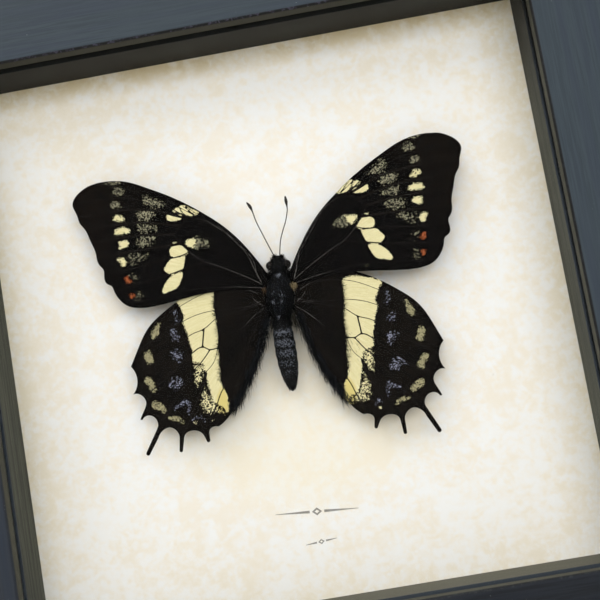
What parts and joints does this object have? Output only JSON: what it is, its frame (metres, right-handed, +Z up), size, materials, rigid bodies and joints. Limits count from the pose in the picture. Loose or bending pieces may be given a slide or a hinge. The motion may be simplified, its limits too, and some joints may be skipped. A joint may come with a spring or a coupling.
{
  "type": "butterfly display case",
  "caption": "Square black shadow-box frame with glass, spacer strips, parchment backing and one mounted swallowtail; turn buttons on the back let the board out.",
  "frame": {"origin": "under the middle of the case, on the surface it stands on", "axes": "+Z up, the glass faces -Y, +X to the viewer's right"},
  "size_m": [0.178, 0.0312, 0.178],
  "materials": {
    "painted_rail": "satin blue-black paint over straight grain",
    "painted_spacer": "flat black paint",
    "clear_glass": "clear, polished",
    "parchment_paper": "mottled cream parchment",
    "foam_board": "white paper-faced foam",
    "hardboard": "brown pressed fibre",
    "zinc_steel": "bright zinc",
    "brass_plated": "thin bright plating",
    "black_rubber": "matt",
    "wing_membrane": "velvety scales, black with cream patches",
    "furry_cuticle": "fine black hair",
    "eye_lens": "glossy dark brown",
    "cork_pad": "cut cork"
  },
  "bodies": {
    "case": {"rail_top": "painted_rail", "rail_bottom": "painted_rail", "rail_left": "painted_rail", "rail_right": "painted_rail", "corner_v_nails": "zinc_steel", "glass_pane": "clear_glass", "spacer_top": "painted_spacer", "spacer_bottom": "painted_spacer", "spacer_left": "painted_spacer", "spacer_right": "painted_spacer", "parchment_sheet": "parchment_paper", "mounting_board": "foam_board", "backing_board": "hardboard", "turn_button_screws": "zinc_steel", "sawtooth_hanger": "zinc_steel", "hanger_nails": "zinc_steel", "wall_bumpers": "black_rubber", "thorax": "furry_cuticle", "head": "furry_cuticle", "abdomen": "furry_cuticle", "eyes": "eye_lens", "antenna_left": "furry_cuticle", "antenna_right": "furry_cuticle", "legs": "furry_cuticle", "thorax_pad": "cork_pad", "specimen_pin": "zinc_steel", "forewing_left": "wing_membrane", "forewing_right": "wing_membrane", "hindwing_left": "wing_membrane", "hindwing_right": "wing_membrane"},
    "turn_button_upper_left": {"turn_button_upper_left": "brass_plated"},
    "turn_button_lower_left": {"turn_button_lower_left": "brass_plated"},
    "turn_button_upper_right": {"turn_button_upper_right": "brass_plated"},
    "turn_button_lower_right": {"turn_button_lower_right": "brass_plated"}
  },
  "joints": [
    {"name": "upper_left_button_turn", "type": "hinge", "parent": "case", "child": "turn_button_upper_left", "pos_m": [-0.08275, 0.01277, 0.134], "axis": [0, 1, 0], "continuous": true},
    {"name": "lower_left_button_turn", "type": "hinge", "parent": "case", "child": "turn_button_lower_left", "pos_m": [-0.08275, 0.01277, 0.044], "axis": [0, 1, 0], "continuous": true},
    {"name": "upper_right_button_turn", "type": "hinge", "parent": "case", "child": "turn_button_upper_right", "pos_m": [0.08275, 0.01277, 0.134], "axis": [0, 1, 0], "continuous": true},
    {"name": "lower_right_button_turn", "type": "hinge", "parent": "case", "child": "turn_button_lower_right", "pos_m": [0.08275, 0.01277, 0.044], "axis": [0, 1, 0], "continuous": true}
  ]
}
